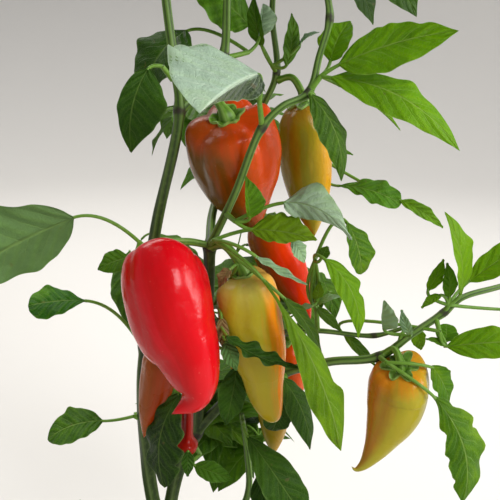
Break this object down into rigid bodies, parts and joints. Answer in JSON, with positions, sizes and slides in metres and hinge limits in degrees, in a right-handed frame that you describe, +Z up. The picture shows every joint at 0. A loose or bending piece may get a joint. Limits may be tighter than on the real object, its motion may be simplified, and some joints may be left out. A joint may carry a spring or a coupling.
{
  "type": "chilli pepper plant",
  "caption": "Leafy garden chilli pepper plant with forking green stems and large pointed fruit ripening from yellow to red",
  "frame": {"origin": "centre of the flat cut under the main stem, at ground level", "axes": "+Z up along the plant's height, +X to the right and -Y towards the viewer of the picture"},
  "size_m": [0.5149, 0.3121, 0.7908],
  "materials": {
    "stem": "ridged green stem with purple joints",
    "leaf": "soft green leaf",
    "red_skin": "glossy red fruit skin",
    "orange_skin": "glossy orange fruit skin",
    "yellow_skin": "glossy yellow fruit skin"
  },
  "bodies": {
    "root": {"main_stem": "stem", "left_stem": "stem", "right_stem": "stem", "upper_bough": "stem", "middle_stem": "stem", "back_stem": "stem", "right_bough": "stem", "back_bough": "stem", "low_shoot": "stem", "red_fruit": "red_skin", "upper_orange_fruit": "orange_skin", "upper_olive_fruit": "yellow_skin", "middle_orange_fruit": "orange_skin", "middle_yellow_fruit": "yellow_skin", "low_orange_fruit": "orange_skin", "left_brown_fruit": "orange_skin", "twisted_red_fruit": "red_skin", "behind_orange_fruit": "orange_skin", "low_olive_fruit": "yellow_skin", "right_yellow_fruit": "yellow_skin", "shoulder_leaf": "leaf", "left_hanging_leaf": "leaf", "left_shaded_leaf": "leaf", "top_inner_spray": "leaf", "right_top_spray": "leaf", "hanging_leaf": "leaf", "high_right_spray": "leaf", "behind_spray": "leaf", "left_large_leaf": "leaf", "left_small_leaf": "leaf", "left_low_leaf": "leaf", "front_dark_leaf": "leaf", "low_left_spray": "leaf", "knee_spray": "leaf", "long_leaf_spray": "leaf", "curled_spray": "leaf", "shaded_leaf": "leaf", "leafy_twig": "leaf", "dark_hanging_spray": "leaf", "low_dark_spray": "leaf", "right_hanging_spray": "leaf", "right_young_spray": "leaf", "right_fan_spray": "leaf", "right_low_spray": "leaf", "crown_left_top": "leaf", "crown_middle_top": "leaf", "crown_right_top": "leaf", "crown_left": "leaf", "crown_front": "leaf", "crown_back": "leaf", "crown_back_right": "leaf", "crown_right": "leaf", "back_upper": "leaf", "back_right": "leaf", "back_left": "leaf", "back_low": "leaf", "right_end": "leaf", "front_low": "leaf", "left_low": "leaf"}
  },
  "joints": []
}
